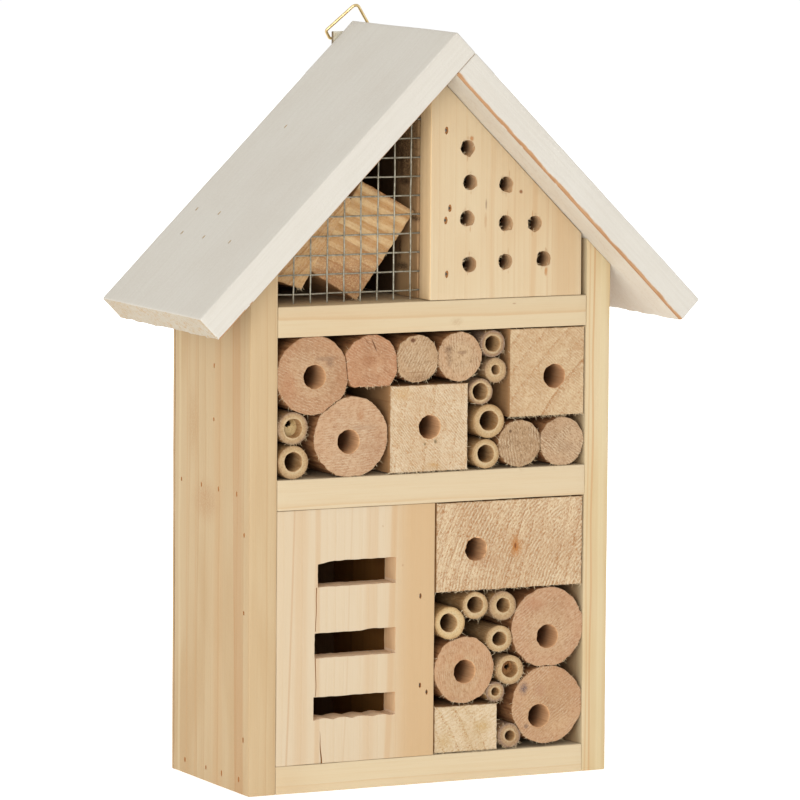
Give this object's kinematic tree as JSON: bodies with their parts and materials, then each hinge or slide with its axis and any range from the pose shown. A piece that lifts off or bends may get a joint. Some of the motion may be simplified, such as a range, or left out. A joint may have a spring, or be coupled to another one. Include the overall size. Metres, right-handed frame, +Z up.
{
  "type": "insect hotel",
  "caption": "House-shaped wooden insect hotel with drilled, slotted and wire-fronted bays, filled with logs, blocks and bamboo, and a wire hanger.",
  "frame": {"origin": "on the underside of the bottom board, midway across the carcass and midway between its front and back faces", "axes": "+Z up, +X to the right seen from the front, +Y from the front towards the back panel"},
  "size_m": [0.1854, 0.0852, 0.2587],
  "materials": {
    "pine": "sawn pine, untreated",
    "painted_pine": "matt warm grey-white paint",
    "plywood": "thin plywood, untreated",
    "branch_wood": "sawn end grain with thin bark",
    "offcut_pine": "rough sawn end grain",
    "bamboo": "dry cane, satin skin",
    "galvanised_wire": "dull zinc",
    "brassed_wire": "bright brass plate",
    "hanger_plate": "dull brass plate",
    "steel_fixings": "bare steel"
  },
  "bodies": {
    "house": {"left_side": "pine", "right_side": "pine", "bottom_board": "pine", "middle_shelf": "pine", "top_shelf": "pine", "back_panel": "plywood", "slot_divider": "pine", "gable_divider": "pine", "roof_left": "painted_pine", "roof_right": "painted_pine", "slot_panel": "pine", "drilled_gable": "pine", "wire_mesh": "galvanised_wire", "big_chunk": "offcut_pine", "small_chunk": "offcut_pine", "hanger_plate": "hanger_plate", "hanger_screws": "steel_fixings", "brads_left": "steel_fixings", "brads_right": "steel_fixings", "brads_roof": "steel_fixings", "brads_front": "steel_fixings", "brads_back": "steel_fixings", "log_1": "branch_wood", "log_2": "branch_wood", "log_3": "branch_wood", "log_4": "branch_wood", "log_5": "branch_wood", "log_6": "branch_wood", "log_7": "branch_wood", "log_8": "branch_wood", "log_9": "branch_wood", "log_10": "branch_wood", "block_1": "offcut_pine", "block_2": "offcut_pine", "block_3": "offcut_pine", "block_4": "offcut_pine", "bamboo_1": "bamboo", "bamboo_2": "bamboo", "bamboo_3": "bamboo", "bamboo_4": "bamboo", "bamboo_5": "bamboo", "bamboo_6": "bamboo", "bamboo_7": "bamboo", "bamboo_8": "bamboo", "bamboo_9": "bamboo", "bamboo_10": "bamboo", "bamboo_11": "bamboo", "bamboo_12": "bamboo", "bamboo_13": "bamboo", "bamboo_14": "bamboo"},
    "hanger": {"hanger_ring": "brassed_wire"}
  },
  "joints": [
    {"name": "hanger_swing", "type": "hinge", "parent": "house", "child": "hanger", "pos_m": [0.0003, 0.03715, 0.2468], "axis": [-1, 0, 0], "range_deg": [0, 218]}
  ]
}
